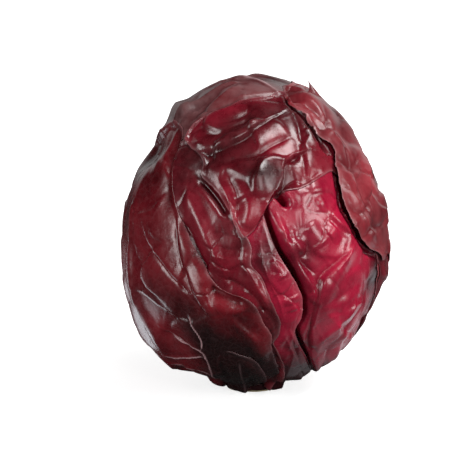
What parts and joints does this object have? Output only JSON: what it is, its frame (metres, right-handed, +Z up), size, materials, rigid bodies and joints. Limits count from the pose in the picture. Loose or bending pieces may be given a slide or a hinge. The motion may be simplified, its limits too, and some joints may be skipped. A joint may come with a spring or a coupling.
{
  "type": "red cabbage head",
  "caption": "Whole head of red cabbage: crumpled, waxy wrapper leaves lapped round a dense heart, standing upright on the cut end of its stalk.",
  "frame": {"origin": "centre of the stalk's flat cut face, on which the head stands", "axes": "+Z up along the stalk, -Y towards the side with the long open fold, +X to the right of that side"},
  "size_m": [0.1525, 0.1538, 0.1786],
  "materials": {
    "leaf_crimson": "waxy crimson cabbage leaf, glossy on the folds, with pale veins",
    "leaf_burgundy": "waxy dark burgundy cabbage leaf with a grey sheen and pale veins",
    "leaf_dusty": "dusty rose-red cabbage leaf with a matt wax bloom and a dry edge",
    "heart": "purple-red packed inner leaves",
    "stalk": "cream cut stalk with a dry, slightly browned face"
  },
  "bodies": {
    "root": {"stalk": "stalk", "heart": "heart", "leaf_crown": "leaf_burgundy", "leaf_back": "leaf_burgundy", "leaf_right": "leaf_crimson", "leaf_strip": "leaf_crimson", "leaf_inner_left": "leaf_burgundy", "leaf_left": "leaf_burgundy", "leaf_right_back": "leaf_dusty", "leaf_cap": "leaf_crimson", "leaf_torn": "leaf_dusty", "leaf_stub": "leaf_burgundy"}
  },
  "joints": []
}
